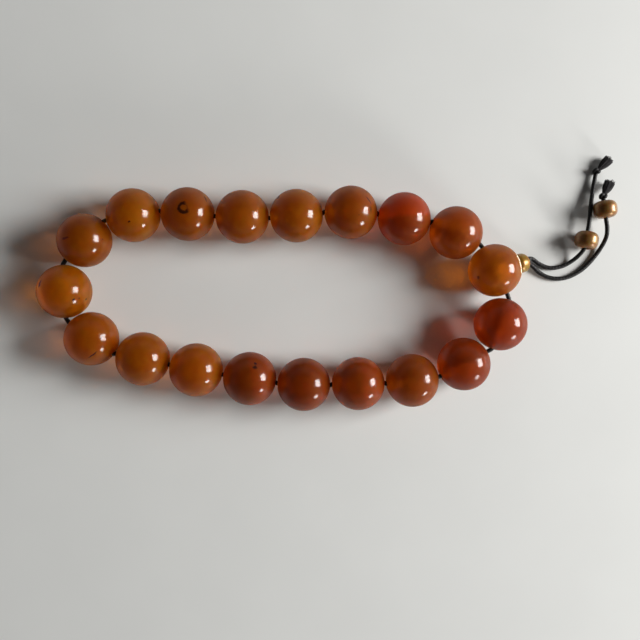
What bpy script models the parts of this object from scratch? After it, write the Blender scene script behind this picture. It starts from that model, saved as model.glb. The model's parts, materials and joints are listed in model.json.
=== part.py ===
"""Misbaha, a string of prayer beads.

Eighteen amber beads and one three-hole guru bead lie in a long closed loop on a black cord. Both ends of
the cord leave the guru bead through its third hole, pass through a small glass bead and are knotted. From
the knot they lie on as two tails, each with a glass bead, an end knot and a frayed tuft.

Metres, +Z up. The origin is on the table under the middle of the loop, and +X runs along the loop.
"""

import math

import bmesh
import bpy
from mathutils import Matrix, Vector

MM = 0.001
UP = Vector((0, 0, 1))

BEAD_RADIUS = 11.5 * MM
BORE_RADIUS = 1.5 * MM
MOUTH_RADIUS = 2.1 * MM
MOUTH_DEPTH = 0.6 * MM
BEAD_FACETS = 18
BEAD_BANDS = 9  # odd, so that one band of facets is parallel to the bore and can lie flat

CORD_RADIUS = 0.8 * MM
CORD_SPACING = 3.6 * MM
GAP = 0.3 * MM
STRAIGHT_HALF = 8.5 * MM  # the cord lies straight in a bore this far each way from the bead's centre

TOP_RADIUS = 4.6 * MM
TOP_LENGTH = 7.4 * MM
TOP_MOUTH_RADIUS = 2.4 * MM
TOP_REST_HEIGHT = 4.57 * MM  # its centre's height when it leans from the guru bead onto the table
PAIR_BORE_RADIUS = 1.9 * MM  # wide enough for two cords side by side
PAIR_OFFSET = 0.9 * MM
TAIL_HEADING = math.radians(15)

TAIL_BEAD_RADIUS = 5.15 * MM
TAIL_BEAD_LENGTH = 7.8 * MM
TAIL_BORE_RADIUS = 1.6 * MM
TAIL_MOUTH_RADIUS = 2.2 * MM
BINDING_KNOT_HALF = 1.2 * MM
BINDING_KNOT_RADIUS = 2.1 * MM
SMALL_FACETS = 14
SMALL_BANDS = 5

# Centres of the beads in millimetres, anticlockwise round the loop. The first is the guru bead.
LOOP = (
    (90.5, 12.3), (73.4, 28.7), (50.7, 34.7), (27.4, 37.4), (3.7, 35.8), (-19.7, 35.2), (-43.2, 36.3),
    (-66.6, 35.7), (-87.4, 24.8), (-96.0, 2.8), (-84.4, -17.5), (-62.5, -26.2), (-39.6, -31.0),
    (-16.5, -34.8), (6.9, -37.4), (30.6, -37.1), (54.2, -35.8), (76.8, -28.7), (93.0, -11.3),
)
CORD_PULL = 0.7
SETTLING_ROUNDS = 60
OPEN_GAP = 13  # the two chains of beads, one from each side of the guru bead, end at this gap

# The tails' routes from the binding knot to their end knots, in millimetres, and what is on them.
TAIL_A = (
    (110.2, 18.3, 1.9), (113.4, 16.2, 1.4), (117.0, 14.6, 1.0), (120.0, 14.2, 0.9), (124.5, 15.0, 0.9),
    (128.7, 17.3, 1.6), (131.6, 20.2, 3.5), (133.1, 22.8, 4.7), (133.9, 26.4, 4.8), (134.6, 30.4, 4.8),
    (135.4, 35.2, 4.8), (136.3, 41.0, 3.9), (137.5, 47.3, 2.8), (138.7, 52.6, 2.0), (139.4, 56.1, 1.8),
)
TAIL_A_BEAD, TAIL_A_BEAD_HEADING = (133.9, 26.4), math.radians(80)
TAIL_A_KNOT, TAIL_A_KNOT_RADIUS = (139.8, 58.1, 1.75), 1.65 * MM
TAIL_A_TUFT, TAIL_A_TUFT_RADIUS = ((141.2, 59.5, 1.6), (145.6, 63.4, 2.1)), 1.95 * MM
TAIL_B = (
    (110.0, 15.4, 1.9), (113.4, 12.4, 1.3), (117.4, 10.2, 0.9), (122.3, 9.3, 0.9), (127.6, 10.2, 0.9),
    (133.3, 13.3, 0.9), (138.0, 17.8, 0.9), (141.7, 23.0, 1.7), (143.4, 27.8, 3.9), (143.5, 31.8, 4.8),
    (143.0, 35.8, 4.8), (142.4, 40.3, 4.8), (141.9, 44.2, 4.7),
)
TAIL_B_BEAD, TAIL_B_BEAD_HEADING = (142.4, 40.3), math.radians(97)
TAIL_B_KNOT, TAIL_B_KNOT_RADIUS = (141.7, 46.3, 4.3), 1.75 * MM
TAIL_B_TUFT, TAIL_B_TUFT_RADIUS = ((142.7, 48.2, 3.9), (146.3, 52.6, 2.6)), 2.3 * MM

AMBER_TONES = {
    "honey": (0.62, 0.24, 0.04),
    "brown": (0.36, 0.13, 0.03),
    "cherry": (0.42, 0.06, 0.01),
}
# One letter for each bead of the loop, guru bead first.
TONE_OF_BEAD = "hccbhhbhhhhhhbbbbcc"
TONE_NAMES = {"h": "honey", "b": "brown", "c": "cherry"}


def vec(point_mm):
    return Vector((*point_mm, 0.0)[:3]) * MM


def heading(angle):
    return Vector((math.cos(angle), math.sin(angle), 0))


def clear_scene():
    for obj in list(bpy.data.objects):
        bpy.data.objects.remove(obj, do_unlink=True)


def new_collection(name):
    collection = bpy.data.collections.new(name)
    bpy.context.scene.collection.children.link(collection)
    return collection


def make_material(name, colour, roughness, metallic=0.0):
    material = bpy.data.materials.new(name)
    material.use_nodes = True
    shader = material.node_tree.nodes["Principled BSDF"]
    shader.inputs["Base Color"].default_value = (*colour, 1)
    shader.inputs["Roughness"].default_value = roughness
    shader.inputs["Metallic"].default_value = metallic
    return material


def add_object(name, data, collection, material, parent, location):
    """Adds one named piece with its origin at location, which is given in the world."""
    obj = bpy.data.objects.new(name, data)
    collection.objects.link(obj)
    if material:
        if not obj.data.materials:
            obj.data.materials.append(material)
        obj.material_slots[0].link = "OBJECT"
        obj.material_slots[0].material = material
    place(obj, parent, location)
    return obj


def place(obj, parent, location):
    """Parents are never turned, so a child's own location is the difference of the two places."""
    obj.parent = parent
    obj.location = location - (world_place(parent) if parent else Vector())


def world_place(obj):
    return obj.location + (world_place(obj.parent) if obj.parent else Vector())


def add_pivot(name, collection, parent, location):
    pivot = bpy.data.objects.new(name, None)
    collection.objects.link(pivot)
    place(pivot, parent, location)
    return pivot


def turned_profile(name, radius, length, bore, mouth, facets, bands):
    """A drilled bead's half section as a closed outline: down the round outside, then up the bore."""
    mouth_angle = math.asin(mouth / radius)
    band = (math.pi - 2 * mouth_angle) / bands
    across = radius / math.cos(band / 2) / math.cos(math.pi / facets)
    along = length / 2 / math.cos(mouth_angle)
    angles = [mouth_angle + i * band for i in range(bands + 1)]
    outline = [(across * math.sin(a), along * math.cos(a)) for a in angles]
    outline[0], outline[-1] = (mouth, length / 2), (mouth, -length / 2)
    depth = length / 2 - MOUTH_DEPTH
    outline += [(bore, -depth), (bore, depth)]
    mesh = bpy.data.meshes.new(name)
    edges = [(i, (i + 1) % len(outline)) for i in range(len(outline))]
    mesh.from_pydata([(x, 0, z) for x, z in outline], edges, [])
    return mesh


def add_turned(obj, facets):
    """Turns the outline about the object's own Z axis."""
    screw = obj.modifiers.new("turned", "SCREW")
    screw.steps = screw.render_steps = facets
    screw.use_merge_vertices = True
    screw.merge_threshold = 0.0001 * MM
    return obj


def aim_bead(obj, axis, facets):
    """Turns the object's Z axis along the bore, with the middle of one facet straight down."""
    axis = axis.normalized()
    down = (-UP + axis * UP.dot(axis)).normalized()
    side = axis.cross(down)
    frame = Matrix((down, side, axis)).transposed()
    obj.rotation_euler = (frame @ Matrix.Rotation(math.pi / facets, 3, "Z")).to_euler()


def add_round_bead(name, mesh, collection, material, parent, centre, axis, facets):
    bead = add_object(name, mesh, collection, material, parent, centre)
    aim_bead(bead, axis, facets)
    return add_turned(bead, facets)


def smooth_route(points, spacing):
    """Points along a smooth curve through the given ones, about one spacing apart."""
    ends = [2 * points[0] - points[1], *points, 2 * points[-1] - points[-2]]
    route = [points[0]]
    for before, start, end, after in zip(ends, ends[1:], ends[2:], ends[3:]):
        steps = max(1, round((end - start).length / spacing))
        reach = (end - start).length / 3
        leave = (end - before).normalized() * reach
        arrive = (after - start).normalized() * reach
        for i in range(1, steps + 1):
            t = i / steps
            s = 1 - t
            knots = (start, start + leave, end - arrive, end)
            weights = (s * s * s, 3 * s * s * t, 3 * s * t * t, t * t * t)
            route.append(sum((k * w for k, w in zip(knots, weights)), Vector()))
    return route


def add_cord(name, points, collection, material, parent, origin):
    """A tube round a smooth route through the points, with its ends closed."""
    curve = bpy.data.curves.new(name, "CURVE")
    curve.dimensions = "3D"
    curve.bevel_depth = CORD_RADIUS
    curve.bevel_resolution = 2
    curve.use_fill_caps = True
    route = smooth_route(points, CORD_SPACING)
    spline = curve.splines.new("POLY")
    spline.points.add(len(route) - 1)
    for spot, point in zip(spline.points, route):
        spot.co = (*(point - origin), 1)
    return add_object(name, curve, collection, material, parent, origin)


def add_knot(name, collection, material, parent, centre, radii, axis):
    """A tight overhand knot's outer form, a squat ball."""
    mesh = bpy.data.meshes.new(name)
    bm = bmesh.new()
    bmesh.ops.create_icosphere(bm, subdivisions=2, radius=1)
    bmesh.ops.scale(bm, vec=radii, verts=bm.verts)
    bm.to_mesh(mesh)
    bm.free()
    knot = add_object(name, mesh, collection, material, parent, centre)
    knot.rotation_euler = axis.to_track_quat("X", "Z").to_euler()
    return knot


def add_tuft(name, collection, material, parent, start, end, radius):
    """A frayed cord end, which widens from the knot."""
    mesh = bpy.data.meshes.new(name)
    bm = bmesh.new()
    length = (end - start).length
    bmesh.ops.create_cone(
        bm, cap_ends=True, segments=12, radius1=CORD_RADIUS, radius2=radius, depth=length
    )
    bm.to_mesh(mesh)
    bm.free()
    tuft = add_object(name, mesh, collection, material, parent, (start + end) / 2)
    tuft.rotation_euler = (end - start).to_track_quat("Z", "Y").to_euler()
    return tuft


def cylinder_cutter(name, collection, start, direction, radius, length):
    mesh = bpy.data.meshes.new(name)
    bm = bmesh.new()
    bmesh.ops.create_cone(
        bm, cap_ends=True, segments=16, radius1=radius, radius2=radius, depth=length
    )
    bm.to_mesh(mesh)
    bm.free()
    cutter = bpy.data.objects.new(name, mesh)
    collection.objects.link(cutter)
    cutter.location = start + direction * length / 2
    cutter.rotation_euler = direction.to_track_quat("Z", "Y").to_euler()
    cutter.hide_render = True
    cutter.display_type = "WIRE"
    return cutter


def settled_tilts(turns):
    """How far the cord turns each bead from the mean heading of its two neighbours.

    A tight cord draws facing holes towards each other, so a bead next to a sharp bend leans into it.
    """
    count = len(turns)
    tilts = [0.0] * count
    for _ in range(SETTLING_ROUNDS):
        aimed = [
            CORD_PULL
            * ((turns[i - 1] - turns[(i + 1) % count]) / 4 - (tilts[i - 1] + tilts[(i + 1) % count]) / 2)
            for i in range(count)
        ]
        tilts = [(old + new) / 2 for old, new in zip(tilts, aimed)]
    return tilts


def loop_layout():
    """Each bead's centre and bore direction, and the point between each two beads where the cord bends."""
    centres = [vec(p) + UP * BEAD_RADIUS for p in LOOP]
    count = len(centres)
    steps = [(centres[(i + 1) % count] - centres[i]).normalized() for i in range(count)]
    turns = [UP.dot(steps[i - 1].cross(steps[i])) for i in range(count)]
    turns = [math.asin(turn) for turn in turns]
    means = [(steps[i - 1] + steps[i]).normalized() for i in range(count)]
    tilts = settled_tilts(turns)
    bores = [Matrix.Rotation(tilt, 3, "Z") @ mean for tilt, mean in zip(tilts, means)]
    leave = [c + b * BEAD_RADIUS for c, b in zip(centres, bores)]
    enter = [c - b * BEAD_RADIUS for c, b in zip(centres, bores)]
    bends = [(leave[i] + enter[(i + 1) % count]) / 2 for i in range(count)]
    across = [(enter[(i + 1) % count] - leave[i]).normalized() for i in range(count)]
    return centres, bores, bends, across


def stretch_points(i, centres, bores, bends, across):
    """The cord through one bead, from just after the bend before it to just before the bend after it."""
    reach = bores[i] * BEAD_RADIUS
    inner = bores[i] * STRAIGHT_HALF
    return [
        bends[i - 1] + across[i - 1] * GAP / 2,
        centres[i] - reach,
        centres[i] - inner,
        centres[i] + inner,
        centres[i] + reach,
        bends[i] - across[i] * GAP / 2,
    ]


def tail_direction():
    """From the guru bead's centre down its third hole, so that the top bead rests on the table."""
    distance = BEAD_RADIUS + GAP + TOP_LENGTH / 2
    pitch = math.asin((BEAD_RADIUS - TOP_REST_HEIGHT) / distance)
    return heading(TAIL_HEADING) * math.cos(pitch) - UP * math.sin(pitch)


def guru_cord_points(side, centre, bore, bend, across, out):
    """One end of the cord: in through a side hole of the guru bead, and out through the third hole."""
    bore = bore * side
    offset = (bore - out * bore.dot(out)).normalized() * PAIR_OFFSET
    far = BEAD_RADIUS + GAP + TOP_LENGTH
    return [
        bend - across * side * GAP / 2,
        centre + bore * BEAD_RADIUS,
        centre + bore * STRAIGHT_HALF,
        centre + bore * 3.2 * MM,
        centre + bore * 1.5 * MM + out * 0.35 * MM,
        centre + offset + out * 1.7 * MM,
        centre + offset + out * 4.0 * MM,
        centre + offset + out * far,
    ]


def make_beads(collection, cutters, root, amber):
    """The guru bead, the two chains of beads that start from it, and the cord through each."""
    centres, bores, bends, across = loop_layout()
    count = len(centres)
    mesh = turned_profile(
        "bead_outline", BEAD_RADIUS, 2 * BEAD_RADIUS, BORE_RADIUS, MOUTH_RADIUS, BEAD_FACETS, BEAD_BANDS
    )
    cord = make_material("waxed_cord", (0.012, 0.011, 0.011), 0.55)
    guru = add_round_bead(
        "guru_bead", mesh, collection, amber[0], root, centres[0], bores[0], BEAD_FACETS
    )
    out = tail_direction()
    hole = guru.modifiers.new("third_hole", "BOOLEAN")
    hole.operation = "DIFFERENCE"
    hole.object = cylinder_cutter(
        "third_hole_cutter", cutters, centres[0], out, PAIR_BORE_RADIUS, 1.2 * BEAD_RADIUS
    )
    for name, side, gap in (("cord_guru_a", 1, 0), ("cord_guru_b", -1, count - 1)):
        points = guru_cord_points(side, centres[0], bores[0], bends[gap], across[gap], out)
        add_cord(name, points, collection, cord, root, bends[gap])

    forward = [(i, bends[i - 1]) for i in range(1, OPEN_GAP + 1)]
    backward = [(i, bends[i]) for i in range(count - 1, OPEN_GAP, -1)]
    for chain in (forward, backward):
        parent = root
        for i, bend in chain:
            parent = add_pivot(f"strand_{i:02d}", collection, parent, bend)
            points = stretch_points(i, centres, bores, bends, across)
            add_cord(f"cord_{i:02d}", points, collection, cord, parent, bend)
            add_round_bead(
                f"bead_{i:02d}", mesh, collection, amber[i], parent, centres[i], bores[i], BEAD_FACETS
            )
    return centres[0], out, cord


def make_tails(collection, root, guru_centre, out, cord):
    """The top bead, the binding knot and the two tails."""
    glass = make_material("lustre_glass", (0.30, 0.14, 0.03), 0.12)
    top_outline = turned_profile(
        "top_outline", TOP_RADIUS, TOP_LENGTH, PAIR_BORE_RADIUS, TOP_MOUTH_RADIUS, SMALL_FACETS,
        SMALL_BANDS,
    )
    top_centre = guru_centre + out * (BEAD_RADIUS + GAP + TOP_LENGTH / 2)
    add_round_bead("top_bead", top_outline, collection, glass, root, top_centre, out, SMALL_FACETS)
    knot_centre = guru_centre + out * (BEAD_RADIUS + TOP_LENGTH + 2 * GAP + BINDING_KNOT_HALF)
    knot_radii = (BINDING_KNOT_HALF, BINDING_KNOT_RADIUS, BINDING_KNOT_RADIUS)
    add_knot("binding_knot", collection, cord, root, knot_centre, knot_radii, out)

    outline = turned_profile(
        "tail_outline", TAIL_BEAD_RADIUS, TAIL_BEAD_LENGTH, TAIL_BORE_RADIUS, TAIL_MOUTH_RADIUS,
        SMALL_FACETS, SMALL_BANDS,
    )
    tails = (
        ("a", TAIL_A, TAIL_A_BEAD, TAIL_A_BEAD_HEADING, TAIL_A_KNOT, TAIL_A_KNOT_RADIUS,
         TAIL_A_TUFT, TAIL_A_TUFT_RADIUS),
        ("b", TAIL_B, TAIL_B_BEAD, TAIL_B_BEAD_HEADING, TAIL_B_KNOT, TAIL_B_KNOT_RADIUS,
         TAIL_B_TUFT, TAIL_B_TUFT_RADIUS),
    )
    for side, route, bead, turn, knot, knot_radius, tuft, tuft_radius in tails:
        swing = add_pivot(f"tail_{side}", collection, root, knot_centre)
        points = [vec(p) for p in route]
        add_cord(f"tail_cord_{side}", points, collection, cord, swing, knot_centre)
        centre = vec(bead) + UP * TAIL_BEAD_RADIUS
        add_round_bead(
            f"tail_bead_{side}", outline, collection, glass, swing, centre, heading(turn), SMALL_FACETS
        )
        radii = (knot_radius, knot_radius, knot_radius)
        start, end = vec(tuft[0]), vec(tuft[1])
        add_knot(f"end_knot_{side}", collection, cord, swing, vec(knot), radii, end - start)
        add_tuft(f"tuft_{side}", collection, cord, swing, start, end, tuft_radius)


def main():
    clear_scene()
    collection = new_collection("misbaha")
    cutters = new_collection("cutters")
    root = add_pivot("misbaha_root", collection, None, Vector())
    tones = {
        key: make_material(f"amber_{name}", AMBER_TONES[name], 0.18) for key, name in TONE_NAMES.items()
    }
    amber = [tones[letter] for letter in TONE_OF_BEAD]
    guru_centre, out, cord = make_beads(collection, cutters, root, amber)
    make_tails(collection, root, guru_centre, out, cord)


if __name__ == "__main__":
    main()
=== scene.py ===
"""Looks for a misbaha: amber prayer beads on a black waxed cord, laid on a pale table.

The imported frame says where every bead, bend and knot is. This file makes the visible pieces there.
"""

import json
import math
import random

import bmesh
import bpy
from bpy.props import FloatProperty, FloatVectorProperty, IntProperty, PointerProperty
from mathutils import Matrix, Vector, noise


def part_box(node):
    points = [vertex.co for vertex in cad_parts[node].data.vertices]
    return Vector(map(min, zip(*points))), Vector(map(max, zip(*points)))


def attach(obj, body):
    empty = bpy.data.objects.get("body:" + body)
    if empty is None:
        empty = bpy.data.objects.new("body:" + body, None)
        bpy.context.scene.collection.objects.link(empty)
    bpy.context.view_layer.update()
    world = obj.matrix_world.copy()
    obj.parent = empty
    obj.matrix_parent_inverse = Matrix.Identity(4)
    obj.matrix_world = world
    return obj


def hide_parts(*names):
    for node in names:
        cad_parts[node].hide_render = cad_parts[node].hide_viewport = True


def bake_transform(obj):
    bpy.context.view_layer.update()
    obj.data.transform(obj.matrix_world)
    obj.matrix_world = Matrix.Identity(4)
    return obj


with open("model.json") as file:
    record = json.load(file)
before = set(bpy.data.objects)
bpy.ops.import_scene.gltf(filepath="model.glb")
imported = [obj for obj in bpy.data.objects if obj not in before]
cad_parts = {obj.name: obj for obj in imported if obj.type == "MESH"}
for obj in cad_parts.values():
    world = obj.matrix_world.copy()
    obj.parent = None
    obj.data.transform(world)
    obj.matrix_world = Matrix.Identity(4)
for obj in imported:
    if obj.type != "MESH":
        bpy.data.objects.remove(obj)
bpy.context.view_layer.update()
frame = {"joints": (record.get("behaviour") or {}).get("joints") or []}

bl_info = {
    "name": "Misbaha",
    "version": (1, 0, 0),
    "blender": (4, 5, 0),
    "location": "3D View > Sidebar > Misbaha",
    "description": "Makes a string of amber prayer beads and the table it lies on",
    "category": "Object",
}

MM = 0.001
UP = Vector((0, 0, 1))
LAST_BEAD = 18
OPEN_GAP = 13  # no joint crosses the gap after this bead, so its cord is in two halves
JOINTS = {joint["name"]: joint for joint in frame["joints"]}

# Where the camera stands, and the place that the marks on the beads are described from.
EYE = Vector((5.46, -9.46, 307.05)) * MM
CAMERA_LENS, SENSOR_WIDTH = 38.25, 36.0
CAMERA_LEAN = math.radians(-1.65)

# Each window: bearing and height in degrees, distance and size in metres.
KEY_WINDOW = (5.5, 27, 1.5, (0.67, 0.6))
LOW_WINDOW = (-45, 14, 1.6, (0.36, 0.32))
DAYLIGHT = "#FFFEFC"

STRAIGHT_SHARE = 0.74  # the cord lies straight in a bore for this share of the bead's radius each way
HALF_PAIR = 0.9 * MM  # the two cord ends lie side by side, this far each way from the third hole's axis
THIRD_HOLE_RADIUS = 1.9 * MM
TOP_BEAD = (4.38 * MM, 3.7 * MM, THIRD_HOLE_RADIUS, 2.95 * MM)  # radius, half length, bore, corner
TAIL_BORE, TAIL_CORNER = 1.6 * MM, 3.1 * MM
# The broken ring round the third hole is painted pale cream: partly chips, partly a painted highlight of
# the window on the guru's rim.
CHIP_HIGHLIGHT_INNER, CHIP_HIGHLIGHT_OUTER = 3.9 * MM, 5.3 * MM  # the broken ring round the third hole
CHIP_HIGHLIGHT_RISE = 0.14  # how much the ring's axis tilts up, where the hole itself dips to the table
KNOT_STEPS = 56

# Routes of the two free tails in millimetres, from the binding knot to the end knot.
TAIL_ROUTES = {
    "a": (
        (108.3, 18.3, 2.3), (110.2, 18.3, 1.9), (113.4, 16.2, 1.4), (117.0, 14.6, 1.08),
        (120.0, 14.2, 1.05), (124.5, 15.0, 1.05), (128.7, 17.3, 1.6), (131.6, 20.2, 3.5),
        (133.1, 22.8, 4.7), (133.9, 26.4, 4.8), (134.6, 30.4, 4.8), (135.4, 35.2, 4.8),
        (136.3, 41.0, 3.9), (137.5, 47.3, 2.8), (138.7, 52.6, 2.0), (139.4, 56.1, 1.8),
        (139.7, 57.6, 1.75),
    ),
    "b": (
        (108.2, 16.2, 2.3), (110.0, 15.4, 1.9), (113.4, 12.4, 1.3), (117.4, 10.2, 1.05),
        (122.3, 9.3, 1.05), (127.6, 10.2, 1.05), (133.3, 13.3, 1.05), (138.0, 17.8, 1.05),
        (141.7, 23.0, 1.7), (143.4, 27.8, 3.9), (143.5, 31.8, 4.8), (143.0, 35.8, 4.8),
        (142.4, 40.3, 4.8), (141.9, 44.2, 4.7), (141.8, 45.6, 4.4),
    ),
}
TAIL_BEAD_HEADINGS = {"a": math.radians(80), "b": math.radians(97)}
TUFT_ENDS = {
    "a": ((140.5, 58.6, 2.1), (145.7, 63.6, 2.5)),
    "b": ((142.1, 46.9, 4.2), (145.9, 53.2, 2.9)),
}

# Mix nodes keep their colour sockets at these numbers.
FACTOR, FIRST, SECOND, RESULT = 0, 6, 7, 2


def colour(code):
    """Turns an sRGB hex value into the linear colour that shaders work in."""
    parts = [int(code[i : i + 2], 16) / 255 for i in (1, 3, 5)]
    return (*(p / 12.92 if p <= 0.04045 else ((p + 0.055) / 1.055) ** 2.4 for p in parts), 1.0)


class AmberSettings(bpy.types.PropertyGroup):
    radius: FloatProperty(
        name="Radius", description="Radius of a round bead", default=11.5 * MM, unit="LENGTH"
    )
    bore: FloatProperty(
        name="Bore", description="Radius of the drilled hole", default=1.5 * MM, unit="LENGTH"
    )
    mouth: FloatProperty(
        name="Mouth", description="Radius of the hole's worn mouth", default=2.1 * MM, unit="LENGTH"
    )
    honey: FloatVectorProperty(
        name="Honey", description="Butterscotch beads", size=4, subtype="COLOR", default=colour("#CB7B03")
    )
    cherry: FloatVectorProperty(
        name="Cherry", description="Red beads", size=4, subtype="COLOR", default=colour("#CB5603")
    )
    steps: IntProperty(name="Steps", description="Faces round a bead", default=96, min=24)


class CordSettings(bpy.types.PropertyGroup):
    diameter: FloatProperty(
        name="Diameter", description="Thickness of the cord", default=1.9 * MM, unit="LENGTH"
    )
    black: FloatVectorProperty(
        name="Black", description="The cord's dye", size=4, subtype="COLOR", default=colour("#161415")
    )
    fibres: IntProperty(name="Fibres", description="Loose fibres in a frayed end", default=170, min=10)


class GlassSettings(bpy.types.PropertyGroup):
    radius: FloatProperty(
        name="Tail bead radius", description="Radius of a tail bead", default=5.15 * MM, unit="LENGTH"
    )
    length: FloatProperty(
        name="Tail bead length", description="Length along its hole", default=7.8 * MM, unit="LENGTH"
    )
    brown: FloatVectorProperty(
        name="Brown glass", description="Tail beads", size=4, subtype="COLOR", default=colour("#94803A")
    )
    olive: FloatVectorProperty(
        name="Olive glass", description="Top bead", size=4, subtype="COLOR", default=colour("#A8841C")
    )


class StageSettings(bpy.types.PropertyGroup):
    table: FloatVectorProperty(
        name="Table", description="The table's paint", size=4, subtype="COLOR", default=colour("#D9DAD8")
    )
    key_power: FloatProperty(name="Key light", description="Large window", default=37.0, unit="POWER")
    low_power: FloatProperty(name="Low light", description="Small window", default=10.0, unit="POWER")
    room: FloatProperty(name="Room light", description="Light from the walls", default=0.26)


def add_node(tree, kind, inputs=None, **settings):
    """Adds a node with its own settings. An input is given a value, or another node's output to link to."""
    made = tree.nodes.new(kind)
    for name, value in settings.items():
        setattr(made, name, value)
    for socket, value in (inputs or {}).items():
        if isinstance(value, bpy.types.NodeSocket):
            tree.links.new(value, made.inputs[socket])
        else:
            made.inputs[socket].default_value = value
    return made


def new_material(name):
    material = bpy.data.materials.new(name)
    material.use_nodes = True
    material.node_tree.nodes.clear()
    return material


def finished(name, bm, material, sharp=math.radians(40)):
    """Makes an object of a mesh that is already in its place, smooth except at its sharp edges."""
    for face in bm.faces:
        face.smooth = True
    for edge in bm.edges:
        edge.smooth = edge.calc_face_angle(0.0) < sharp
    mesh = bpy.data.meshes.new(name)
    bm.to_mesh(mesh)
    bm.free()
    mesh.materials.append(material)
    obj = bpy.data.objects.new(name, mesh)
    bpy.context.scene.collection.objects.link(obj)
    return obj


def bore_frame(centre, axis):
    """A frame whose Z axis is the bore and whose X axis is as near to straight down as it can be."""
    axis = axis.normalized()
    down = (-UP + axis * UP.dot(axis)).normalized()
    turn = Matrix((down, axis.cross(down), axis)).transposed().to_4x4()
    return Matrix.Translation(centre) @ turn


class HalfSection:
    """A bead's half section, drawn in the XZ plane and then spun about Z."""

    def __init__(self, x, z):
        self.bm = bmesh.new()
        self.last = self.bm.verts.new((x, 0, z))

    def line(self, x, z):
        self.last = bmesh.ops.extrude_vert_indiv(self.bm, verts=[self.last])["verts"][0]
        self.last.co = (x, 0, z)

    def arc(self, x, z, angle, steps):
        """Turns the last point about (x, z), from +Z towards +X."""
        made = bmesh.ops.spin(
            self.bm, geom=[self.last], cent=(x, 0, z), axis=(0, 1, 0), angle=angle, steps=steps
        )
        self.last = made["geom_last"][0]

    def spun(self, steps):
        bm = self.bm
        bmesh.ops.remove_doubles(bm, verts=bm.verts[:], dist=0.001 * MM)
        bmesh.ops.spin(
            bm,
            geom=bm.verts[:] + bm.edges[:],
            cent=(0, 0, 0),
            axis=(0, 0, 1),
            angle=math.tau,
            steps=steps,
            use_merge=True,
        )
        bmesh.ops.remove_doubles(bm, verts=bm.verts[:], dist=0.001 * MM)
        bmesh.ops.recalc_face_normals(bm, faces=bm.faces[:])
        return bm


def smooth_route(points, spacing):
    """Points along a smooth curve through the given ones, about one spacing apart."""
    ends = [2 * points[0] - points[1], *points, 2 * points[-1] - points[-2]]
    route = [points[0]]
    for before, start, end, after in zip(ends, ends[1:], ends[2:], ends[3:]):
        steps = max(1, round((end - start).length / spacing))
        reach = (end - start).length / 3
        leave = (end - before).normalized() * reach
        arrive = (after - start).normalized() * reach
        for i in range(1, steps + 1):
            t = i / steps
            s = 1 - t
            corners = (start, start + leave, end - arrive, end)
            weights = (s * s * s, 3 * s * s * t, 3 * s * t * t, t * t * t)
            route.append(sum((c * w for c, w in zip(corners, weights)), Vector()))
    return route


def add_tube(bm, route, radius, sides, lay=None):
    """Extrudes a ring along a route and closes both ends.

    The UV map, where there is one, gives the way along the cord and the way round it, both in millimetres.
    """
    radii = radius if isinstance(radius, (list, tuple)) else [radius] * len(route)
    heading = (route[1] - route[0]).normalized()
    matrix = Matrix.Translation(route[0]) @ heading.to_track_quat("Z", "Y").to_matrix().to_4x4()
    ring = bmesh.ops.create_circle(bm, segments=sides, radius=radii[0], matrix=matrix)["verts"]
    place = {vert: (0.0, i) for i, vert in enumerate(ring)}
    bmesh.ops.contextual_create(bm, geom=ring)
    edges = list({edge for vert in ring for edge in vert.link_edges})
    travelled = 0.0
    faces = []
    for i in range(1, len(route)):
        before = heading
        after = route[min(i + 1, len(route) - 1)] - route[i - 1]
        heading = after.normalized()
        swing = before.rotation_difference(heading).to_matrix().to_4x4()
        grow = Matrix.Scale(radii[i] / radii[i - 1], 4)
        move = Matrix.Translation(route[i]) @ swing @ grow @ Matrix.Translation(-route[i - 1])
        travelled += (route[i] - route[i - 1]).length
        made = bmesh.ops.extrude_edge_only(bm, edges=edges)["geom"]
        verts = [item for item in made if isinstance(item, bmesh.types.BMVert)]
        edges = [item for item in made if isinstance(item, bmesh.types.BMEdge)]
        faces += [item for item in made if isinstance(item, bmesh.types.BMFace)]
        edges = [edge for edge in edges if all(vert in verts for vert in edge.verts)]
        for vert in verts:
            old = next(e.other_vert(vert) for e in vert.link_edges if e.other_vert(vert) in place)
            place[vert] = (travelled, place[old][1])
        bmesh.ops.transform(bm, matrix=move, verts=verts)
    bmesh.ops.contextual_create(bm, geom=edges)
    if lay is None:
        return
    around = math.tau * radius / sides / MM
    for face in faces:
        seam = max(place[vert][1] for vert in face.verts) == sides - 1
        for loop in face.loops:
            along, turn = place[loop.vert]
            if seam and turn == 0 and any(place[v][1] > 1 for v in face.verts):
                turn = sides
            loop[lay].uv = (along / MM, turn * around)


def tube_piece(name, routes, radius, material, sides=14):
    """One mesh of one or more tubes, with a UV map that runs along them."""
    bm = bmesh.new()
    lay = bm.loops.layers.uv.new("run")
    for route in routes:
        add_tube(bm, route, radius, sides, lay)
    bmesh.ops.recalc_face_normals(bm, faces=bm.faces[:])
    return finished(name, bm, material)


# ---------------------------------------------------------------------------------------------- the string


def joint_place(name):
    return Vector(JOINTS[name]["pos_m"])


def joint_axis(name):
    return Vector(JOINTS[name]["axis"]).normalized()


def strung_beads():
    """Each large bead's centre and bore, anticlockwise from the guru bead."""
    low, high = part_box("guru_bead")
    across = joint_place("loop_bend_01") - joint_place("loop_bend_18")
    beads = [((low + high) / 2, across.normalized())]
    for i in range(1, LAST_BEAD + 1):
        beads.append((joint_place(f"bead_spin_{i:02d}"), joint_axis(f"bead_spin_{i:02d}")))
    return beads


def gap_bend(beads, gap, radius):
    """The point where the cord bends between bead number gap and the next one."""
    if gap == OPEN_GAP:
        (a, bore_a), (b, bore_b) = beads[gap], beads[gap + 1]
        return (a + bore_a * radius + b - bore_b * radius) / 2
    return joint_place(f"loop_bend_{gap + 1 if gap < OPEN_GAP else gap:02d}")


def strand_name(i):
    return "guru" if i % (LAST_BEAD + 1) == 0 else f"strand_{i:02d}"


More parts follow.
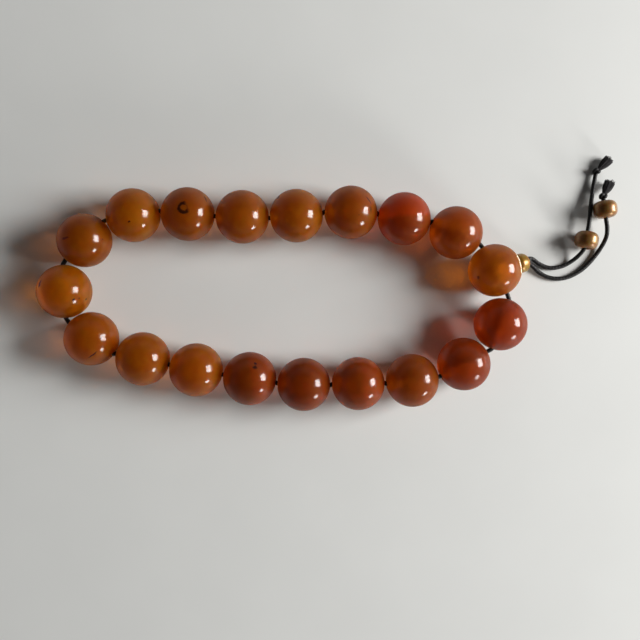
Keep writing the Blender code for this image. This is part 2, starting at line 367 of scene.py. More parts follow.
def cord_material(cord):
    """Waxed polyester cord, braided from black yarns: a dull gleam on each yarn, painted shade darkening
    the grooves between them, and pale specks that are both wax dust and painted glints.
    """
    material = new_material("waxed_braided_cord")
    tree = material.node_tree
    coords = add_node(tree, "ShaderNodeTexCoord")
    # Yarns about 0.5 mm wide cross each other at 45 degrees.
    one_way = add_node(
        tree,
        "ShaderNodeTexWave",
        {"Vector": coords.outputs["UV"], "Scale": 0.42, "Distortion": 0.6, "Detail": 1.0},
        wave_type="BANDS",
        bands_direction="DIAGONAL",
    )
    turned = add_node(tree, "ShaderNodeMapping", {"Vector": coords.outputs["UV"], "Scale": (1, -1, 1)})
    other_way = add_node(
        tree,
        "ShaderNodeTexWave",
        {"Vector": turned.outputs[0], "Scale": 0.42, "Distortion": 0.6, "Detail": 1.0},
        wave_type="BANDS",
        bands_direction="DIAGONAL",
    )
    braid = add_node(
        tree,
        "ShaderNodeMath",
        {0: one_way.outputs["Fac"], 1: other_way.outputs["Fac"]},
        operation="MAXIMUM",
    )
    # Pale specks about 0.4 mm apart, large enough to show: wax dust, and painted glints on the yarns.
    dust_and_glint_noise = add_node(
        tree, "ShaderNodeTexNoise", {"Vector": coords.outputs["Object"], "Scale": 2600.0, "Detail": 2.0}
    )
    dust_and_glint_specks = add_node(
        tree, "ShaderNodeMapRange", {"Value": dust_and_glint_noise.outputs["Fac"], "From Min": 0.62, "From Max": 0.72}
    )
    # Painted shade: the braid's grooves, its low places, are painted a darker black than the tops of the
    # yarns.
    yarn = add_node(
        tree,
        "ShaderNodeMix",
        {FACTOR: braid.outputs[0], FIRST: colour("#080707"), SECOND: tuple(cord.black)},
        data_type="RGBA",
    )
    specked_yarn = add_node(
        tree,
        "ShaderNodeMix",
        {FACTOR: dust_and_glint_specks.outputs[0], FIRST: yarn.outputs[RESULT], SECOND: colour("#5E5A57")},
        data_type="RGBA",
    )
    relief = add_node(
        tree, "ShaderNodeBump", {"Height": braid.outputs[0], "Strength": 0.6, "Distance": 0.08 * MM}
    )
    shader = add_node(
        tree,
        "ShaderNodeBsdfPrincipled",
        {
            "Base Color": specked_yarn.outputs[RESULT],
            "Roughness": 0.42,
            "IOR": 1.46,
            "Specular IOR Level": 0.3,
            "Sheen Weight": 0.03,
            "Normal": relief.outputs[0],
        },
    )
    add_node(tree, "ShaderNodeOutputMaterial", {"Surface": shader.outputs[0]})
    return material


class MISBAHA_OT_tails(bpy.types.Operator):
    """Makes the two free tails with their end knots and frayed ends"""

    bl_idname = "misbaha.tails"
    bl_label = "Tails"

    def execute(self, context):
        cord = context.scene.misbaha_cord
        material = cord_material(cord)
        fray = frayed_material(cord)
        for side, points in TAIL_ROUTES.items():
            route = smooth_route([Vector(p) * MM for p in points], 0.7 * MM)
            tail = tube_piece(f"braided_tail_{side}", [route], cord.diameter / 2, material)
            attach(tail, f"tail_{side}")
            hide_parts(f"tail_cord_{side}")
            heading = route[-1] - route[-6]
            knot = tied_knot(f"tied_end_knot_{side}", f"end_knot_{side}", heading, 0.8, material)
            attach(knot, f"tail_{side}")
            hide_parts(f"end_knot_{side}")
            tuft = frayed_tuft(side, cord.fibres, fray)
            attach(tuft, f"tail_{side}")
            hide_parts(f"tuft_{side}")
        return {"FINISHED"}


def tied_knot(name, node, heading, tube, material, flatten=1.0, grow=1.2):
    """An overhand knot pulled tight, which fills the knot's place in the frame."""
    low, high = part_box(node)
    centre, size = (low + high) / 2, (high - low).length / 2 / math.sqrt(3) * grow
    centre.z = max(centre.z, size)
    frame_of_knot = Matrix.Translation(centre) @ heading.to_track_quat("X", "Z").to_matrix().to_4x4()
    reach = (size - tube * MM) / 3
    route = []
    for i in range(KNOT_STEPS + 1):
        t = 0.35 + (math.tau - 0.7) * i / KNOT_STEPS
        x = (math.sin(t) + 2 * math.sin(2 * t)) * reach * 1.05
        y = (math.cos(t) - 2 * math.cos(2 * t)) * reach * 1.05
        z = -math.sin(3 * t) * reach * 1.35
        route.append(frame_of_knot @ Vector((z * flatten, x, y)))
    return tube_piece(name, [route], tube * MM, material, sides=12)


def frayed_material(cord):
    """Frayed polyester yarn: fine dark fibres that catch a soft sheen along their length."""
    material = new_material("frayed_polyester_yarn")
    tree = material.node_tree
    coords = add_node(tree, "ShaderNodeTexCoord")
    tone = add_node(
        tree, "ShaderNodeTexNoise", {"Vector": coords.outputs["Object"], "Scale": 1500.0, "Detail": 1.0}
    )
    yarn = add_node(
        tree,
        "ShaderNodeMix",
        {FACTOR: tone.outputs["Fac"], FIRST: tuple(cord.black), SECOND: colour("#2A2227")},
        data_type="RGBA",
    )
    shader = add_node(
        tree,
        "ShaderNodeBsdfPrincipled",
        {"Base Color": yarn.outputs[RESULT], "Roughness": 0.6, "IOR": 1.5, "Sheen Weight": 0.05},
    )
    add_node(tree, "ShaderNodeOutputMaterial", {"Surface": shader.outputs[0]})
    return material


def frayed_tuft(side, fibres, material):
    """A cord's cut end, opened into its fibres like a small brush."""
    rng = random.Random(f"tuft {side}")
    start, end = (Vector(p) * MM for p in TUFT_ENDS[side])
    axis = (end - start).normalized()
    turn = axis.to_track_quat("Z", "Y").to_matrix()
    length = (end - start).length
    bm = bmesh.new()
    core = [start + axis * length * t for t in (0.0, 0.2, 0.45, 0.7, 0.85)]
    add_tube(bm, core, [r * MM for r in (0.75, 1.15, 1.55, 1.6, 1.1)], 10)
    for _ in range(fibres):
        angle = rng.uniform(0, math.tau)
        spread = math.sqrt(rng.uniform(0.12, 1.0))
        reach = length * rng.uniform(0.88, 1.04)
        side_way = turn @ Vector((math.cos(angle), math.sin(angle), 0))
        curl = turn @ Vector((rng.uniform(-1, 1), rng.uniform(-1, 1), 0)) * 0.3 * MM
        route = []
        for step in range(7):
            t = step / 6
            out = (0.75 + 1.4 * math.sin(min(t * 2.2, math.pi / 2)) ** 1.3) * spread * MM
            point = start + axis * reach * t + side_way * out + curl * t * t
            point.z = max(point.z, 0.15 * MM)
            route.append(point)
        add_tube(bm, route, 0.1 * MM, 4)
    bmesh.ops.recalc_face_normals(bm, faces=bm.faces[:])
    return finished(f"frayed_tuft_{side}", bm, material)


class MISBAHA_OT_loop_cord(bpy.types.Operator):
    """Makes the cord through the large beads, one length across each gap, and the binding knot"""

    bl_idname = "misbaha.loop_cord"
    bl_label = "Loop cord"

    def execute(self, context):
        cord = context.scene.misbaha_cord
        radius = context.scene.misbaha_amber.radius
        material = bpy.data.materials["waxed_braided_cord"]
        beads = strung_beads()
        out = joint_axis("top_bead_spin")
        for gap in range(LAST_BEAD + 1):
            self.one_gap(gap, beads, radius, cord.diameter / 2, material, out)
        knot = tied_knot("tied_binding_knot", "binding_knot", out, 0.75, material, flatten=0.7, grow=1.0)
        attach(knot, "guru")
        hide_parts("binding_knot")
        return {"FINISHED"}

    def one_gap(self, gap, beads, radius, cord_radius, material, out):
        (a, bore_a), (b, bore_b) = beads[gap], beads[(gap + 1) % len(beads)]
        leave, enter = a + bore_a * radius, b - bore_b * radius
        straight = radius * STRAIGHT_SHARE
        bend = gap_bend(beads, gap, radius)
        first = [a + bore_a * 0.15 * MM, a + bore_a * straight, leave]
        last = [enter, b - bore_b * straight, b - bore_b * 0.15 * MM]
        if gap == 0:
            first = self.through_guru(a, bore_a, out, radius) + first[1:]
        if gap == LAST_BEAD:
            last = last[:-1] + self.through_guru(b, -bore_b, out, radius)[::-1]
        if gap == OPEN_GAP:
            for tag, points, i in (("a", first + [bend], gap), ("b", [bend] + last, gap + 1)):
                route = smooth_route(points, 0.8 * MM)
                half = tube_piece(f"loop_cord_{gap}{tag}", [route], cord_radius, material)
                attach(half, strand_name(i))
                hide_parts(f"cord_{i:02d}")
            return
        route = smooth_route(first + [bend] + last, 0.8 * MM)
        piece = tube_piece(f"loop_cord_{gap:02d}", [route], cord_radius, material)
        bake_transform(piece)
        stands_for = {0: "cord_guru_a", LAST_BEAD: "cord_guru_b"}
        number = gap if gap < OPEN_GAP else gap + 1
        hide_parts(stands_for.get(gap, f"cord_{number:02d}"))

    def through_guru(self, centre, bore, out, radius):
        """From the binding knot back through the top bead and the third hole, into a side hole."""
        offset = (bore - out * bore.dot(out)).normalized() * HALF_PAIR
        knot = (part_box("binding_knot")[0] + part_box("binding_knot")[1]) / 2
        reach = (knot - centre).length
        return [
            centre + offset * 0.9 + out * (reach - 1.8 * MM),
            centre + offset + out * (reach - 3.0 * MM),
            centre + offset + out * radius,
            centre + offset + out * 4.0 * MM,
            centre + offset + out * 1.7 * MM,
            centre + bore * 1.5 * MM + out * 0.35 * MM,
            centre + bore * 3.2 * MM,
        ]


# ----------------------------------------------------------------------------------------------- the beads


def spot_on(centre, radius, across, down):
    """A place on the near side of a bead, given in radii to the right and down as seen from the eye."""
    towards = (EYE - centre).normalized()
    right = (Vector((1, 0, 0)) - towards * towards.x).normalized()
    above = towards.cross(right)
    rise = math.sqrt(max(0.0, 1 - across * across - down * down))
    normal = (right * across - above * down + towards * rise).normalized()
    return centre + normal * radius, normal, right, above


class MISBAHA_OT_amber_beads(bpy.types.Operator):
    """Makes the eighteen round beads of the loop"""

    bl_idname = "misbaha.amber_beads"
    bl_label = "Amber beads"

    def execute(self, context):
        amber = context.scene.misbaha_amber
        beads = strung_beads()
        for i in range(1, LAST_BEAD + 1):
            centre, bore = beads[i]
            bm = round_bead(amber)
            bmesh.ops.transform(bm, matrix=bore_frame(centre, bore), verts=bm.verts[:])
            name = f"amber_bead_{i:02d}"
            material = amber_material(name, amber, TONES[i], centre, bore, MARKS.get(i, ()))
            bead = finished(name, bm, material)
            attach(bead, f"bead_{i:02d}")
            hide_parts(f"bead_{i:02d}")
        return {"FINISHED"}


class MISBAHA_OT_guru_bead(bpy.types.Operator):
    """Makes the guru bead, which has a third hole with a chipped mouth"""

    bl_idname = "misbaha.guru_bead"
    bl_label = "Guru bead"

    def execute(self, context):
        amber = context.scene.misbaha_amber
        centre, bore = strung_beads()[0]
        out = joint_axis("top_bead_spin")
        bm = round_bead(amber)
        bmesh.ops.transform(bm, matrix=bore_frame(centre, bore), verts=bm.verts[:])
        material = amber_material("amber_guru", amber, TONES[0], centre, bore, MARKS[0])
        whole = finished("amber_guru", bm, material)
        cutter = finished("third_hole", third_hole(amber), material)
        cutter.data.transform(bore_frame(centre, out))
        hole = whole.modifiers.new("third_hole", "BOOLEAN")
        hole.operation = "DIFFERENCE"
        hole.object = cutter
        context.view_layer.update()
        drilled = bpy.data.meshes.new_from_object(whole.evaluated_get(context.evaluated_depsgraph_get()))
        whole.modifiers.remove(hole)
        whole.data = drilled
        # The second finish is the pale chipped ring, painted bright to stand for the window's highlight on
        # the guru's right rim.
        drilled.materials.append(chipped_highlight_material())
        level = Vector((out.x, out.y, CHIP_HIGHLIGHT_RISE)).normalized()
        for face in drilled.polygons:
            arm = face.center - centre
            ragged = noise.noise(face.center * 500) * 0.8 * MM
            off_axis = (arm - level * arm.dot(level)).length + ragged
            if arm.dot(level) > 0 and CHIP_HIGHLIGHT_INNER < off_axis < CHIP_HIGHLIGHT_OUTER:
                face.material_index = 1
        bpy.data.objects.remove(cutter)
        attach(whole, "guru")
        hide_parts("guru_bead")
        return {"FINISHED"}


def round_bead(amber):
    """A drilled round bead about the origin, with its bore along Z."""
    radius, mouth = amber.radius, amber.mouth
    start = math.asin(mouth / radius)
    top = radius * math.cos(start)
    section = HalfSection(mouth, top)
    section.arc(0, 0, math.pi - 2 * start, amber.steps // 2)
    section.line(amber.bore, -top + 0.6 * MM)
    section.line(amber.bore, top - 0.6 * MM)
    section.line(mouth, top)
    return section.spun(amber.steps)


def third_hole(amber):
    """The cutter for the third hole: straight inside, flaring to a chipped ring at the surface."""
    top = amber.radius
    section = HalfSection(0, 0)
    section.line(THIRD_HOLE_RADIUS, 0)
    section.line(THIRD_HOLE_RADIUS, top - 1.1 * MM)
    section.line(2.5 * MM, top - 0.35 * MM)
    section.line(3.0 * MM, top + 0.3 * MM)
    section.line(0, top + 0.3 * MM)
    bm = section.spun(48)
    for vert in bm.verts:
        if vert.co.z > top - 0.6 * MM and vert.co.xy.length > 2 * MM:
            shake = noise.noise(vert.co * 900) * 0.3 * MM
            vert.co.xy = vert.co.xy.normalized() * (vert.co.xy.length + shake)
    return bm


# Bead by bead round the loop, guru bead first: the kind of amber, how red it is from honey at 0 to
# cherry at 1, and how light.
TONES = (
    ("honey", 0.2, 1.08),
    ("cherry", 0.75, 0.8),
    ("cherry", 0.95, 0.78),
    ("brown", 0.4, 0.94),
    ("honey", 0.1, 1.08),
    ("honey", 0.2, 1.02),
    ("brown", 0.35, 0.91),
    ("honey", -0.05, 1.12),
    ("honey", 0.25, 0.83),
    ("honey", 0.0, 1.02),
    ("honey", 0.25, 1.0),
    ("honey", 0.1, 1.02),
    ("honey", 0.2, 1.12),
    ("brown", 0.7, 0.68),
    ("brown", 0.9, 0.74),
    ("brown", 0.7, 0.84),
    ("brown", 0.6, 0.85),
    ("cherry", 1.15, 0.66),
    ("cherry", 1.25, 0.68),
)
# Flaws on the beads: kind, place in radii to the right and down, half length and half width in
# millimetres, turn in degrees, and how strong it is.
MARKS = {
    0: (("stain", -0.58, 0.27, 1.1, 0.7, 60, 0.8),),
    2: (("band", 0.0, -0.12, 0, 0, 5, 0.9),),
    3: (
        ("fissure", 0.66, -0.45, 2.4, 0.5, -50, 0.9),
        ("fissure", 0.74, -0.12, 1.8, 0.45, 80, 0.8),
        ("stain", 0.3, 0.1, 0.3, 0.3, 0, 0.7),
    ),
    4: (("stain", -0.69, -0.66, 1.6, 1.1, 45, 1.0),),
    6: (
        ("crescent", -0.14, -0.24, 2.2, 2.2, 20, 1.0),
        ("fissure", 0.66, -0.56, 1.9, 0.5, 75, 0.9),
    ),
    7: (("stain", -0.15, 0.23, 0.55, 0.5, 0, 1.0),),
    8: (("fissure", -0.66, -0.08, 2.4, 0.6, 5, 0.8), ("stain", 0.62, -0.05, 0.5, 0.4, 0, 0.8)),
    9: (
        ("stain", 0.3, 0.3, 0.8, 0.6, 20, 1.0),
        ("stain", 0.5, 0.25, 0.5, 0.4, 0, 0.8),
        ("stain", 0.75, 0.28, 0.6, 0.5, 60, 0.9),
        ("fissure", -0.84, -0.28, 2.2, 0.9, 75, 1.0),
    ),
    10: (("fissure", 0.03, 0.6, 3.2, 0.4, 50, 1.0), ("stain", 0.33, -0.02, 0.4, 0.4, 0, 0.8)),
    13: (
        # Right half brighter: the amber's own two tones, with painted light on the side toward the key
        # window.
        ("band", 0.1, 0.2, 0, 0, -80, 0.35),
        ("stain", 0.19, -0.4, 1.3, 1.1, 0, 1.0),
        ("stain", 0.2, -0.53, 0.8, 0.9, 0, 1.0),
    ),
    14: (("stain", 0.56, -0.12, 0.4, 0.4, 0, 0.9), ("stain", 0.6, 0.05, 0.35, 0.35, 0, 0.9)),
    # Right half brighter: the amber's own two tones, with painted light on the side toward the key window.
    15: (("band", 0.2, 0.0, 0, 0, -80, 0.3),),
    18: (("stain", 0.55, -0.17, 0.45, 0.45, 0, 0.8),),
}


def amber_material(name, amber, tone, centre, bore, marks):
    """Old amber, turned, drilled and polished: light soaks deep into it and comes back red, clouds swirl
    under a clear gloss, years of handling have left a haze and fine pits, and the mouths are painted darker
    as shade from the next bead."""
    material = new_material(f"polished_{name}")
    tree = material.node_tree
    coords = add_node(tree, "ShaderNodeTexCoord")
    place = bore_frame(centre, bore)
    own = add_node(
        tree,
        "ShaderNodeMapping",
        {"Vector": coords.outputs["Object"], "Location": centre, "Rotation": place.to_euler()},
        vector_type="TEXTURE",
    )
    # Clouds 5 to 10 mm across that swirl through the bead.
    clouds = add_node(
        tree,
        "ShaderNodeTexNoise",
        {"Vector": own.outputs[0], "Scale": 120.0, "Detail": 4.0, "Roughness": 0.6, "Distortion": 0.3},
    )
    cloud = add_node(
        tree, "ShaderNodeMapRange", {"Value": clouds.outputs["Fac"], "From Min": 0.36, "From Max": 0.66}
    )
    _, redness, light = tone
    base = Vector(amber.honey[:3]).lerp(Vector(amber.cherry[:3]), redness) * light
    deep = base * Vector((0.86, 0.72, 0.6))
    body = add_node(
        tree,
        "ShaderNodeMix",
        {FACTOR: cloud.outputs[0], FIRST: (*deep, 1.0), SECOND: (*base, 1.0)},
        data_type="RGBA",
    )
    painted = body.outputs[RESULT]
    # A flaw's outline wavers by a few tenths of a millimetre.
    waver = add_node(
        tree, "ShaderNodeTexNoise", {"Vector": coords.outputs["Object"], "Scale": 900.0, "Detail": 2.0}
    )
    warp = add_node(
        tree,
        "ShaderNodeVectorMath",
        {0: waver.outputs["Color"], 1: (0.5, 0.5, 0.5)},
        operation="SUBTRACT",
    )
    spread = add_node(
        tree,
        "ShaderNodeVectorMath",
        {0: warp.outputs[0], "Scale": 1.1 * MM},
        operation="SCALE",
    )
    shaken = add_node(
        tree,
        "ShaderNodeVectorMath",
        {0: coords.outputs["Object"], 1: spread.outputs[0]},
        operation="ADD",
    )
    for kind, across, down, long, wide, turn, strength in marks:
        spot, normal, right, above = spot_on(centre, amber.radius, across, down)
        along = right * math.cos(math.radians(turn)) + above * math.sin(math.radians(turn))
        along = (along - normal * normal.dot(along)).normalized()
        facing = Matrix((along, normal.cross(along), normal)).transposed()
        if kind == "band":
            painted = add_band(tree, painted, shaken, spot, facing, strength)
            continue
        local = add_node(
            tree,
            "ShaderNodeMapping",
            {
                "Vector": shaken.outputs[0],
                "Location": spot,
                "Rotation": facing.to_euler(),
                "Scale": (long * MM, wide * MM, 2.5 * MM),
            },
            vector_type="TEXTURE",
        )
        away = add_node(tree, "ShaderNodeVectorMath", {0: local.outputs[0]}, operation="LENGTH")
        distance = away.outputs["Value"]
        if kind == "crescent":
            distance = crescent_distance(tree, local, distance)
        inside = add_node(
            tree,
            "ShaderNodeMapRange",
            {"Value": distance, "From Min": 0.45, "From Max": 1.1, "To Min": strength, "To Max": 0.0},
            interpolation_type="SMOOTHSTEP",
        )
        marked = add_node(
            tree,
            "ShaderNodeMix",
            {FACTOR: inside.outputs[0], FIRST: painted, SECOND: colour("#1E0C04")},
            data_type="RGBA",
        )
        painted = marked.outputs[RESULT]
    # Painted shade round both mouths of the bore, where the next beads sit.
    painted = add_mouth_shade(tree, painted, own, amber.mouth)
    # Pits and rubbing marks finer than half a millimetre.
    rub = add_node(
        tree, "ShaderNodeTexNoise", {"Vector": own.outputs[0], "Scale": 2200.0, "Detail": 2.0}
    )
    pits = add_node(
        tree, "ShaderNodeMapRange", {"Value": rub.outputs["Fac"], "From Min": 0.24, "From Max": 0.34}
    )
    relief = add_node(
        tree, "ShaderNodeBump", {"Height": pits.outputs[0], "Strength": 0.2, "Distance": 0.05 * MM}
    )
    haze = add_node(
        tree, "ShaderNodeTexNoise", {"Vector": own.outputs[0], "Scale": 260.0, "Detail": 4.0}
    )
    hazy = add_node(
        tree, "ShaderNodeMapRange", {"Value": haze.outputs["Fac"], "To Min": 0.55, "To Max": 0.7}
    )
    # Where hands have dulled the polish the gloss spreads in patches.
    dulled = add_node(
        tree,
        "ShaderNodeMapRange",
        {"Value": haze.outputs["Fac"], "From Min": 0.45, "From Max": 0.7, "To Min": 0.05, "To Max": 0.2},
    )
    shader = add_node(
        tree,
        "ShaderNodeBsdfPrincipled",
        {
            "Base Color": painted,
            "Roughness": hazy.outputs[0],
            "IOR": 1.54,
            "Specular IOR Level": 0.08,
            "Specular Tint": colour("#BC6C27"),
            "Transmission Weight": 0.82,
            "Subsurface Weight": 1.0,
            "Subsurface Radius": (1.0, 0.5, 0.1),
            "Subsurface Scale": 10.0 * MM,
            "Coat Weight": 0.21,
            "Coat Roughness": dulled.outputs[0],
            "Coat IOR": 2.0,
            "Normal": relief.outputs[0],
            "Coat Normal": relief.outputs[0],
        },
        subsurface_method="RANDOM_WALK",
    )
    add_node(tree, "ShaderNodeOutputMaterial", {"Surface": shader.outputs[0]})
    return material


def add_band(tree, painted, shaken, spot, facing, strength):
    """A bead in two tones, redder and brighter above a soft edge. Turned on its side on beads 13 and 15, it
    brightens the half toward the key window, so there it is painted light as well as the amber's own tone.
    """
    local = add_node(
        tree,
        "ShaderNodeMapping",
        {"Vector": shaken.outputs[0], "Location": spot, "Rotation": facing.to_euler()},
        vector_type="TEXTURE",
    )
    apart = add_node(tree, "ShaderNodeSeparateXYZ", {0: local.outputs[0]})
    above = add_node(
        tree,
        "ShaderNodeMapRange",
        {"Value": apart.outputs["Y"], "From Min": -1.2 * MM, "From Max": 1.2 * MM, "To Max": strength},
        interpolation_type="SMOOTHSTEP",
    )
    marked = add_node(
        tree,
        "ShaderNodeMix",
        {FACTOR: above.outputs[0], FIRST: painted, SECOND: colour("#D24A04")},
        data_type="RGBA",
    )
    return marked.outputs[RESULT]


def crescent_distance(tree, local, distance):
    """Leaves only an open curved line of a round flaw."""
    ring = add_node(tree, "ShaderNodeMath", {0: distance, 1: 0.9}, operation="SUBTRACT")
    off_ring = add_node(tree, "ShaderNodeMath", {0: ring.outputs[0]}, operation="ABSOLUTE")
    wide = add_node(tree, "ShaderNodeMath", {0: off_ring.outputs[0], 1: 2.4}, operation="MULTIPLY")
    apart = add_node(tree, "ShaderNodeSeparateXYZ", {0: local.outputs[0]})
    opened = add_node(tree, "ShaderNodeMath", {0: apart.outputs["X"], 1: 1.2}, operation="MULTIPLY")
    joined = add_node(
        tree, "ShaderNodeMath", {0: wide.outputs[0], 1: opened.outputs[0]}, operation="MAXIMUM"
    )
    return joined.outputs[0]


def add_mouth_shade(tree, painted, own, mouth):
    """Painted shade: the holes' mouths, which face the neighbouring beads, are painted a darker brown for a
    millimetre round the cord.
    """
    apart = add_node(tree, "ShaderNodeSeparateXYZ", {0: own.outputs[0]})
    flat = add_node(
        tree, "ShaderNodeCombineXYZ", {"X": apart.outputs["X"], "Y": apart.outputs["Y"], "Z": 0.0}
    )
    away = add_node(tree, "ShaderNodeVectorMath", {0: flat.outputs[0]}, operation="LENGTH")
    near = add_node(
        tree,
        "ShaderNodeMapRange",
        {
            "Value": away.outputs["Value"],
            "From Min": mouth * 0.95,
            "From Max": mouth * 1.5,
            "To Min": 0.55,
            "To Max": 0.0,
        },
        interpolation_type="SMOOTHSTEP",
    )
    marked = add_node(
        tree,
        "ShaderNodeMix",
        {FACTOR: near.outputs[0], FIRST: painted, SECOND: colour("#6A3008")},
        data_type="RGBA",
    )
    return marked.outputs[RESULT]


def chipped_highlight_material():
    """Broken amber, where the skin has flaked off a hole's edge: pale, dry and grainy, amber in between.
    The pale cream also paints the window's highlight along the guru's right rim.
    """
    material = new_material("chipped_amber_highlight")
    tree = material.node_tree
    coords = add_node(tree, "ShaderNodeTexCoord")
    # Flakes of about a millimetre.
    flakes = add_node(
        tree, "ShaderNodeTexNoise", {"Vector": coords.outputs["Object"], "Scale": 800.0, "Detail": 3.0}
    )
    # Pale cream flakes: chips, painted bright as the window's highlight on the rim.
    pale_chip_highlight = add_node(
        tree, "ShaderNodeMapRange", {"Value": flakes.outputs["Fac"], "From Min": 0.36, "From Max": 0.46}
    )
    tone = add_node(
        tree,
        "ShaderNodeMix",
        {FACTOR: pale_chip_highlight.outputs[0], FIRST: colour("#9A5A14"), SECOND: colour("#F4E6C4")},
        data_type="RGBA",
    )
    relief = add_node(
        tree, "ShaderNodeBump", {"Height": flakes.outputs["Fac"], "Strength": 0.5, "Distance": 0.3 * MM}
    )
    shader = add_node(
        tree,
        "ShaderNodeBsdfPrincipled",
        {"Base Color": tone.outputs[RESULT], "Roughness": 0.5, "IOR": 1.54, "Normal": relief.outputs[0]},
    )
    add_node(tree, "ShaderNodeOutputMaterial", {"Surface": shader.outputs[0]})
    return material


def lustre_material(name, base, red):
    """Pressed glass with a fired gold lustre: a brown body that glows where light passes, under a thin
    metallic skin with tiny worn specks."""
    material = new_material(name)
    tree = material.node_tree
    coords = add_node(tree, "ShaderNodeTexCoord")
    wear = add_node(
        tree, "ShaderNodeTexNoise", {"Vector": coords.outputs["Object"], "Scale": 1400.0, "Detail": 3.0}
    )
    skin = add_node(
        tree,
        "ShaderNodeMapRange",
        {"Value": wear.outputs["Fac"], "From Min": 0.35, "From Max": 0.6, "To Min": 0.2, "To Max": 0.5},
    )
    tone = add_node(
        tree,
        "ShaderNodeMix",
        {FACTOR: skin.outputs[0], FIRST: colour(red), SECOND: base},
        data_type="RGBA",
    )
    shader = add_node(
        tree,
        "ShaderNodeBsdfPrincipled",
        {
            "Base Color": tone.outputs[RESULT],
            "Metallic": skin.outputs[0],
            "Roughness": 0.36,
            "IOR": 1.52,
            "Subsurface Weight": 1.0,
            "Subsurface Radius": (1.0, 0.25, 0.05),
            "Subsurface Scale": 6.0 * MM,
            "Coat Weight": 0.3,
            "Coat Roughness": 0.12,
            "Coat IOR": 1.5,
        },
        subsurface_method="RANDOM_WALK",
    )
    add_node(tree, "ShaderNodeOutputMaterial", {"Surface": shader.outputs[0]})
    return material


class MISBAHA_OT_glass_beads(bpy.types.Operator):
    """Makes the small top bead and the two tail beads"""

    bl_idname = "misbaha.glass_beads"
    bl_label = "Glass beads"

    def execute(self, context):
        glass = context.scene.misbaha_glass
        brown = lustre_material("lustred_brown_glass", tuple(glass.brown), "#6E300C")
        for side, heading in TAIL_BEAD_HEADINGS.items():
            low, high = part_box(f"tail_bead_{side}")
            axis = Vector((math.cos(heading), math.sin(heading), 0))
            bm = barrel(glass.radius, glass.length / 2, TAIL_BORE, TAIL_CORNER)
            bmesh.ops.transform(bm, matrix=bore_frame((low + high) / 2, axis), verts=bm.verts[:])
            bead = finished(f"glass_tail_bead_{side}", bm, brown)
            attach(bead, f"tail_bead_{side}")
            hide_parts(f"tail_bead_{side}")
        olive = lustre_material("lustred_olive_glass", tuple(glass.olive), "#6E4A08")
        bm = barrel(*TOP_BEAD)
        place = bore_frame(joint_place("top_bead_spin"), joint_axis("top_bead_spin"))
        bmesh.ops.transform(bm, matrix=place, verts=bm.verts[:])
        top = finished("glass_top_bead", bm, olive)
        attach(top, "top_bead")
        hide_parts("top_bead")
        return {"FINISHED"}


def barrel(radius, half, bore, corner):
    """A pressed glass bead: round sides, flat drilled ends and generous rounded corners."""
    section = HalfSection(bore + 0.3 * MM, half)
    section.line(radius - corner, half)
    section.arc(radius - corner, half - corner, math.pi / 2, 10)
    section.line(radius, -(half - corner))
    section.arc(radius - corner, -(half - corner), math.pi / 2, 10)
    section.line(bore + 0.3 * MM, -half)
    section.line(bore, -half + 0.4 * MM)
    section.line(bore, half - 0.4 * MM)
    section.line(bore + 0.3 * MM, half)
    return section.spun(64)


# ----------------------------------------------------------------------------------------------- the stage


def table_material(table):
    """A painted table top, rolled satin: even and pale, with the faintest roller texture."""
    material = new_material("satin_table_paint")
    tree = material.node_tree
    coords = add_node(tree, "ShaderNodeTexCoord")
    mottle = add_node(
        tree, "ShaderNodeTexNoise", {"Vector": coords.outputs["Object"], "Scale": 22.0, "Detail": 3.0}
    )
    tone = add_node(
        tree,
        "ShaderNodeMix",
        {FACTOR: mottle.outputs["Fac"], FIRST: colour("#D2D3D1"), SECOND: tuple(table)},
        data_type="RGBA",
    )
    roller = add_node(
        tree, "ShaderNodeTexNoise", {"Vector": coords.outputs["Object"], "Scale": 380.0, "Detail": 2.0}
    )
    relief = add_node(
        tree, "ShaderNodeBump", {"Height": roller.outputs["Fac"], "Strength": 0.06, "Distance": 0.1 * MM}
    )
    shader = add_node(
        tree,
        "ShaderNodeBsdfPrincipled",
        {
            "Base Color": tone.outputs[RESULT],
            "Roughness": 0.55,
            "IOR": 1.48,
            "Specular IOR Level": 0.3,
            "Normal": relief.outputs[0],
        },
    )
    add_node(tree, "ShaderNodeOutputMaterial", {"Surface": shader.outputs[0]})
    return material


def add_window(name, azimuth, elevation, distance, size, power, tint):
    """A soft rectangular light that faces the beads."""
    data = bpy.data.lights.new(name, "AREA")
    data.shape = "RECTANGLE"
    data.size, data.size_y = size
    data.energy = power
    data.color = colour(tint)[:3]
    light = bpy.data.objects.new(name, data)
    a, e = math.radians(azimuth), math.radians(elevation)
    towards = Vector((math.cos(a) * math.cos(e), math.sin(a) * math.cos(e), math.sin(e)))
    light.location = towards * distance
    light.rotation_euler = towards.to_track_quat("Z", "Y").to_euler()
    bpy.context.scene.collection.objects.link(light)


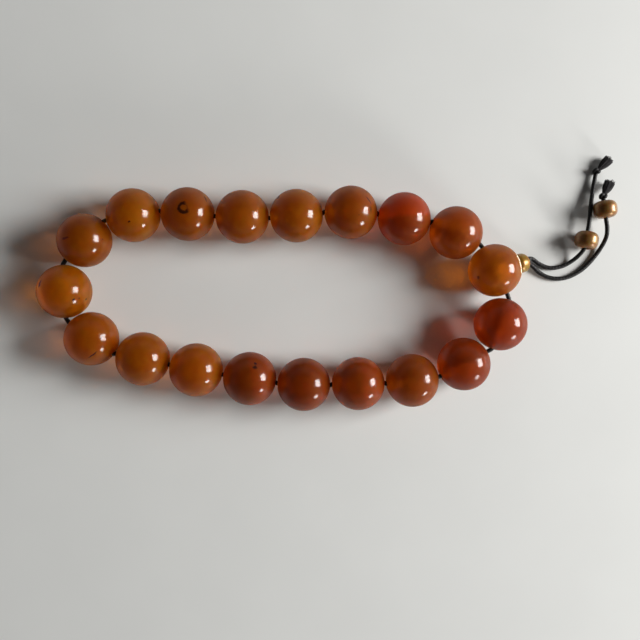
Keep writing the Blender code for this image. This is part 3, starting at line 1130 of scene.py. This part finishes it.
class MISBAHA_OT_stage(bpy.types.Operator):
    """Makes the table, the windows, the room light and the camera"""

    bl_idname = "misbaha.stage"
    bl_label = "Table, light and camera"

    def execute(self, context):
        stage = context.scene.misbaha_stage
        bm = bmesh.new()
        bmesh.ops.create_grid(bm, x_segments=1, y_segments=1, size=2.0)
        table = finished("table_top", bm, table_material(stage.table))
        add_window("window_right", *KEY_WINDOW, stage.key_power, DAYLIGHT)
        add_window("window_low", *LOW_WINDOW, stage.low_power, DAYLIGHT)
        world = bpy.data.worlds.new("room")
        world.use_nodes = True
        self.light_room(world.node_tree, stage.room)
        context.scene.world = world
        context.scene.view_settings.view_transform = "Standard"
        data = bpy.data.cameras.new("camera")
        data.lens = CAMERA_LENS
        data.sensor_width = SENSOR_WIDTH
        data.clip_start = 0.01
        camera = bpy.data.objects.new("camera", data)
        camera.location = EYE
        camera.rotation_euler = (0, CAMERA_LEAN, 0)
        context.scene.collection.objects.link(camera)
        context.scene.camera = camera
        return {"FINISHED"}

    def light_room(self, tree, strength):
        """Pale walls low down, brightest towards the windows, under a dark ceiling."""
        coords = add_node(tree, "ShaderNodeTexCoord")
        apart = add_node(tree, "ShaderNodeSeparateXYZ", {0: coords.outputs["Generated"]})
        height = add_node(
            tree,
            "ShaderNodeMapRange",
            {"Value": apart.outputs["Z"], "From Min": 0.25, "From Max": 0.8, "To Min": 1.0, "To Max": 0.08},
            interpolation_type="SMOOTHSTEP",
        )
        side = add_node(
            tree,
            "ShaderNodeMapRange",
            {"Value": apart.outputs["X"], "From Min": -1.0, "From Max": 1.0, "To Min": 0.5, "To Max": 1.5},
        )
        level = add_node(
            tree, "ShaderNodeMath", {0: height.outputs[0], 1: side.outputs[0]}, operation="MULTIPLY"
        )
        power = add_node(tree, "ShaderNodeMath", {0: level.outputs[0], 1: strength}, operation="MULTIPLY")
        background = tree.nodes["Background"]
        background.inputs["Color"].default_value = colour("#F4F5F4")
        tree.links.new(power.outputs[0], background.inputs["Strength"])


class MISBAHA_PT_sidebar(bpy.types.Panel):
    """Lists the pieces and their settings"""

    bl_idname = "MISBAHA_PT_sidebar"
    bl_label = "Misbaha"
    bl_space_type = "VIEW_3D"
    bl_region_type = "UI"
    bl_category = "Misbaha"

    def draw(self, context):
        for operator, settings in SIDEBAR:
            box = self.layout.box()
            if settings:
                group = getattr(context.scene, settings)
                for name in group.__annotations__:
                    box.prop(group, name)
            box.operator(operator)


SIDEBAR = (
    ("misbaha.tails", "misbaha_cord"),
    ("misbaha.loop_cord", None),
    ("misbaha.amber_beads", "misbaha_amber"),
    ("misbaha.guru_bead", None),
    ("misbaha.glass_beads", "misbaha_glass"),
    ("misbaha.stage", "misbaha_stage"),
)
GROUPS = {
    "misbaha_amber": AmberSettings,
    "misbaha_cord": CordSettings,
    "misbaha_glass": GlassSettings,
    "misbaha_stage": StageSettings,
}
CLASSES = (
    *GROUPS.values(),
    MISBAHA_OT_tails,
    MISBAHA_OT_loop_cord,
    MISBAHA_OT_amber_beads,
    MISBAHA_OT_guru_bead,
    MISBAHA_OT_glass_beads,
    MISBAHA_OT_stage,
    MISBAHA_PT_sidebar,
)


def register():
    for kind in CLASSES:
        bpy.utils.register_class(kind)
    for name, group in GROUPS.items():
        setattr(bpy.types.Scene, name, PointerProperty(type=group))


def unregister():
    for name in GROUPS:
        delattr(bpy.types.Scene, name)
    for kind in reversed(CLASSES):
        bpy.utils.unregister_class(kind)


def main():
    register()
    bpy.ops.misbaha.stage()
    bpy.ops.misbaha.tails()
    bpy.ops.misbaha.loop_cord()
    bpy.ops.misbaha.amber_beads()
    bpy.ops.misbaha.guru_bead()
    bpy.ops.misbaha.glass_beads()


if __name__ == "__main__":
    main()
